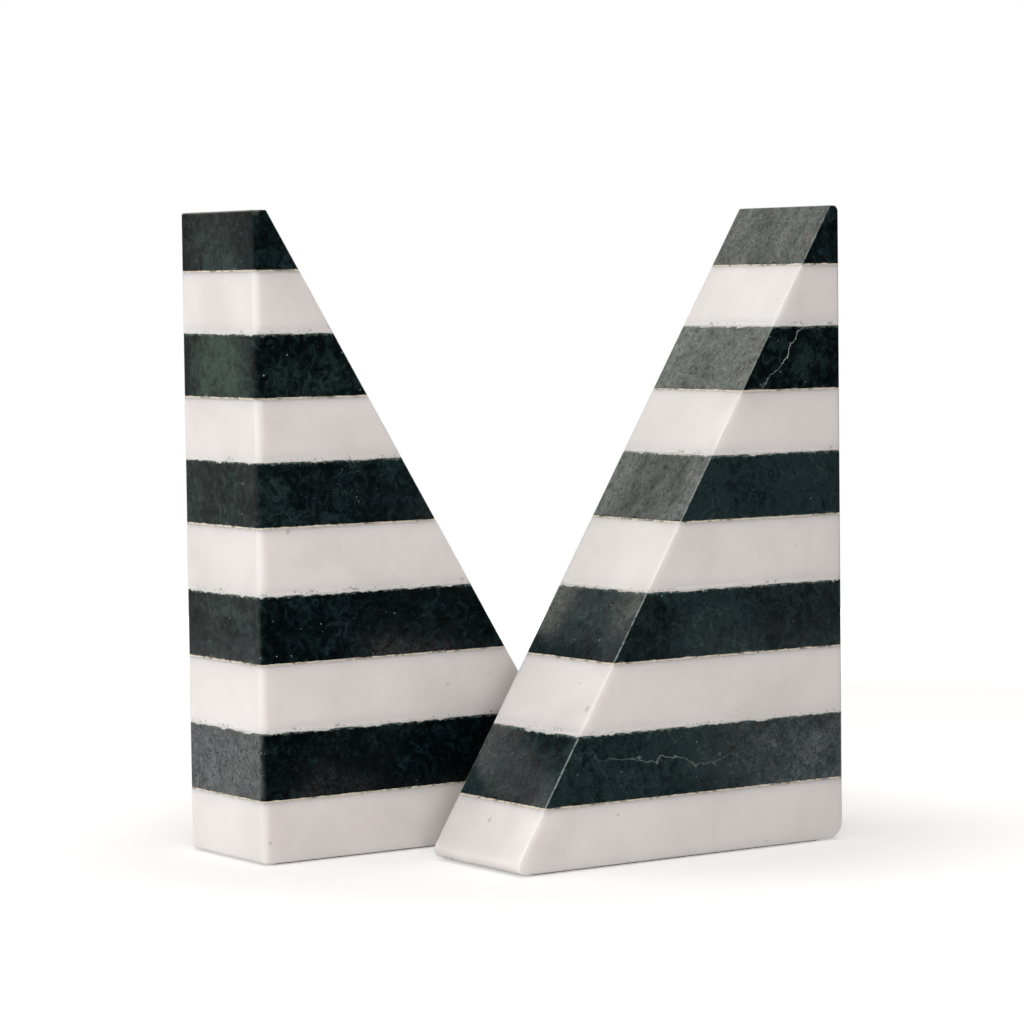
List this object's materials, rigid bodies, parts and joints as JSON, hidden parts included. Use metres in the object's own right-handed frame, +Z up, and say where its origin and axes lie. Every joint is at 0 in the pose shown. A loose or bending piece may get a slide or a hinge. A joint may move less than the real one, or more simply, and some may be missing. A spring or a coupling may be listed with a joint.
{
  "type": "book ends",
  "caption": "Pair of tall tapering book ends, each a bonded stack of white and dark green marble slabs on a felt pad, with an upright face for books and a sloping back.",
  "frame": {"origin": "on the surface that the pair stands on, under the middle of the pair's box", "axes": "+Z up, X along the shelf from the left book end's upright face towards the right one's, Y across the shelf, away from the right book end towards the left one"},
  "size_m": [0.174, 0.113, 0.2006],
  "materials": {
    "white_marble": "honed and waxed white marble with faint grey clouds",
    "green_marble": "polished dark green marble with pale veins and specks",
    "bond_resin": "cream resin sanded flush with the stone",
    "felt": "pressed felt"
  },
  "bodies": {
    "left_book_end": {"left_slab_1_white": "white_marble", "left_slab_2_dark": "green_marble", "left_slab_3_white": "white_marble", "left_slab_4_dark": "green_marble", "left_slab_5_white": "white_marble", "left_slab_6_dark": "green_marble", "left_slab_7_white": "white_marble", "left_slab_8_dark": "green_marble", "left_slab_9_white": "white_marble", "left_slab_10_dark": "green_marble", "left_bond_1": "bond_resin", "left_bond_2": "bond_resin", "left_bond_3": "bond_resin", "left_bond_4": "bond_resin", "left_bond_5": "bond_resin", "left_bond_6": "bond_resin", "left_bond_7": "bond_resin", "left_bond_8": "bond_resin", "left_bond_9": "bond_resin", "left_felt_pad": "felt"},
    "right_book_end": {"right_slab_1_white": "white_marble", "right_slab_2_dark": "green_marble", "right_slab_3_white": "white_marble", "right_slab_4_dark": "green_marble", "right_slab_5_white": "white_marble", "right_slab_6_dark": "green_marble", "right_slab_7_white": "white_marble", "right_slab_8_dark": "green_marble", "right_slab_9_white": "white_marble", "right_slab_10_dark": "green_marble", "right_bond_1": "bond_resin", "right_bond_2": "bond_resin", "right_bond_3": "bond_resin", "right_bond_4": "bond_resin", "right_bond_5": "bond_resin", "right_bond_6": "bond_resin", "right_bond_7": "bond_resin", "right_bond_8": "bond_resin", "right_bond_9": "bond_resin", "right_felt_pad": "felt"}
  },
  "joints": [
    {"name": "pair_spread", "type": "slide", "parent": "left_book_end", "child": "right_book_end", "axis": [1, 0, 0], "range_m": [-0.6, 0.2]}
  ]
}
